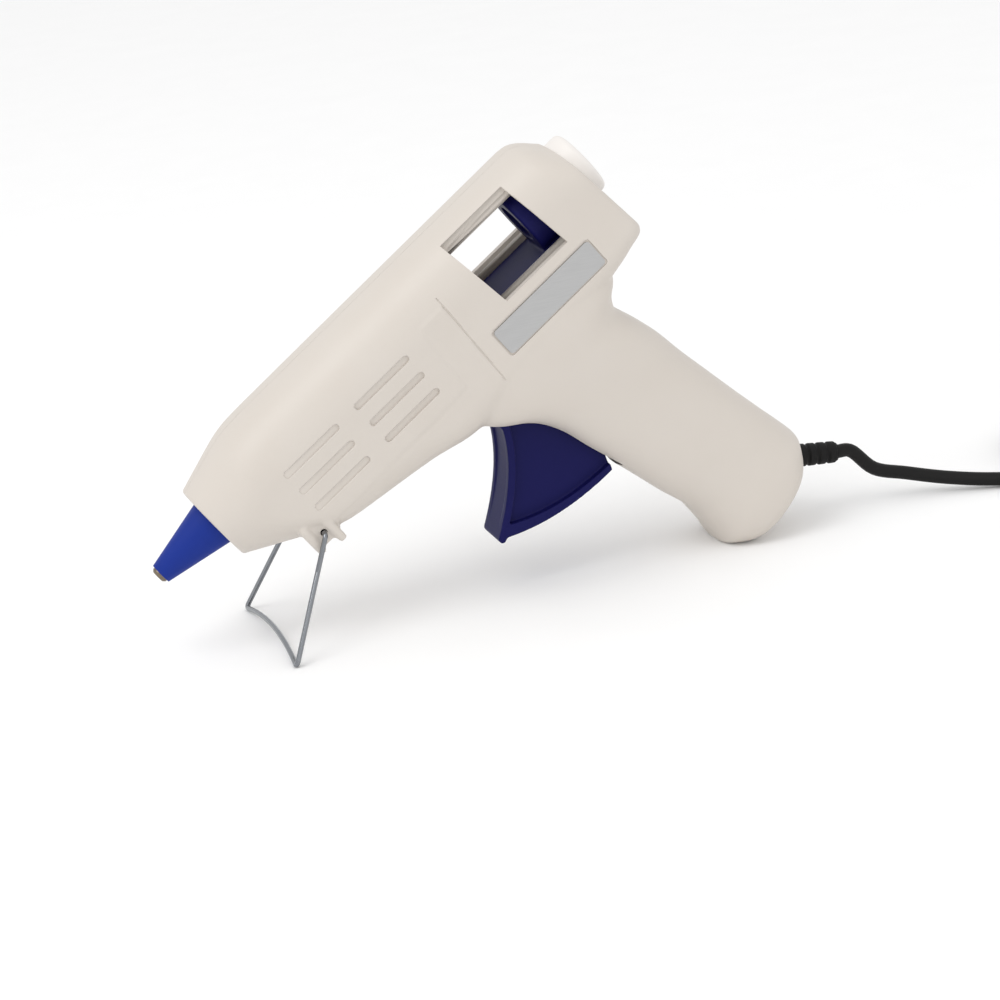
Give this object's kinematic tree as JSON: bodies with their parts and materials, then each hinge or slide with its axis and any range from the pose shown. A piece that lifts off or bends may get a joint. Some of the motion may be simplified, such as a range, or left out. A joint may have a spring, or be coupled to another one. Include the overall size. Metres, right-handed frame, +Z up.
{
  "type": "hot glue applicator",
  "caption": "Corded hot-melt glue applicator: pistol-grip housing, heated nozzle, sprung trigger that feeds a stick through a sliding carriage, and a folding wire stand.",
  "frame": {"origin": "bottom centre of the gun as it stands on its wire stand and the heel of its grip, without the free cord", "axes": "+X rearward along the table with the nozzle towards -X, +Y to the gun's right side, +Z up"},
  "size_m": [0.4085, 0.0709, 0.1377],
  "materials": {
    "housing": "fine satin moulded",
    "collar": "satin",
    "sleeve": "satin heat-resistant sleeve",
    "navy": "semi-gloss moulded",
    "cord": "satin black sheath",
    "label": "brushed foil, bare",
    "chrome": "bright plated wire",
    "brass": "heat-dulled",
    "aluminium": "die-cast",
    "steel": "zinc plated",
    "heater": "bare ceramic stone",
    "silicone": "matte silicone",
    "wire_red": "satin insulation",
    "wire_blue": "satin insulation"
  },
  "bodies": {
    "housing": {"housing_left": "housing", "housing_right": "housing", "inlet_collar": "collar", "nozzle_sleeve": "sleeve", "nozzle_tip": "brass", "melt_chamber": "aluminium", "ptc_heater": "heater", "heater_clip": "steel", "feed_sleeve": "silicone", "sleeve_band": "steel", "trigger_pin": "steel", "label_plate": "label", "strain_relief": "cord", "cord_tail": "cord", "cord_clamp": "collar", "crimp_left": "steel", "crimp_right": "steel", "lead_left": "wire_red", "lead_right": "wire_blue", "screw_1": "steel", "screw_2": "steel", "screw_3": "steel", "screw_4": "steel", "screw_5": "steel", "screw_6": "steel", "clamp_screw_1": "steel", "clamp_screw_2": "steel", "cord_lead": "cord", "cord_coil": "cord", "plug_body": "cord", "plug_pin_1": "chrome", "plug_pin_2": "chrome"},
    "trigger": {"trigger": "navy", "trigger_spring": "steel"},
    "carriage": {"carriage": "navy", "pawl_pin": "steel", "drive_pin": "steel"},
    "pawl": {"grip_pawl": "steel"},
    "stand": {"wire_stand": "chrome"}
  },
  "joints": [
    {"name": "trigger_pull", "type": "hinge", "parent": "housing", "child": "trigger", "pos_m": [0.00985, 0, 0.06254], "axis": [0, -1, 0], "range_deg": [0, 20], "stiffness_Nm_per_rad": 0.15, "springref_deg": -17.19, "deforming": ["trigger_spring"]},
    {"name": "carriage_feed", "type": "slide", "parent": "housing", "child": "carriage", "axis": [-0.8274, 0, -0.5616], "range_m": [0, 0.0082]},
    {"name": "pawl_bite", "type": "hinge", "parent": "carriage", "child": "pawl", "pos_m": [0.02779, 0, 0.11001], "axis": [0, 1, 0], "range_deg": [0, 12.1]},
    {"name": "stand_fold", "type": "hinge", "parent": "housing", "child": "stand", "pos_m": [-0.06201, 0, 0.03576], "axis": [0, -1, 0], "range_deg": [0, 125]}
  ],
  "couplings": [
    {"joint": "carriage_feed", "follows": "trigger_pull", "m_per_rad": 0.023245},
    {"joint": "pawl_bite", "follows": "trigger_pull", "ratio": 0.6}
  ]
}
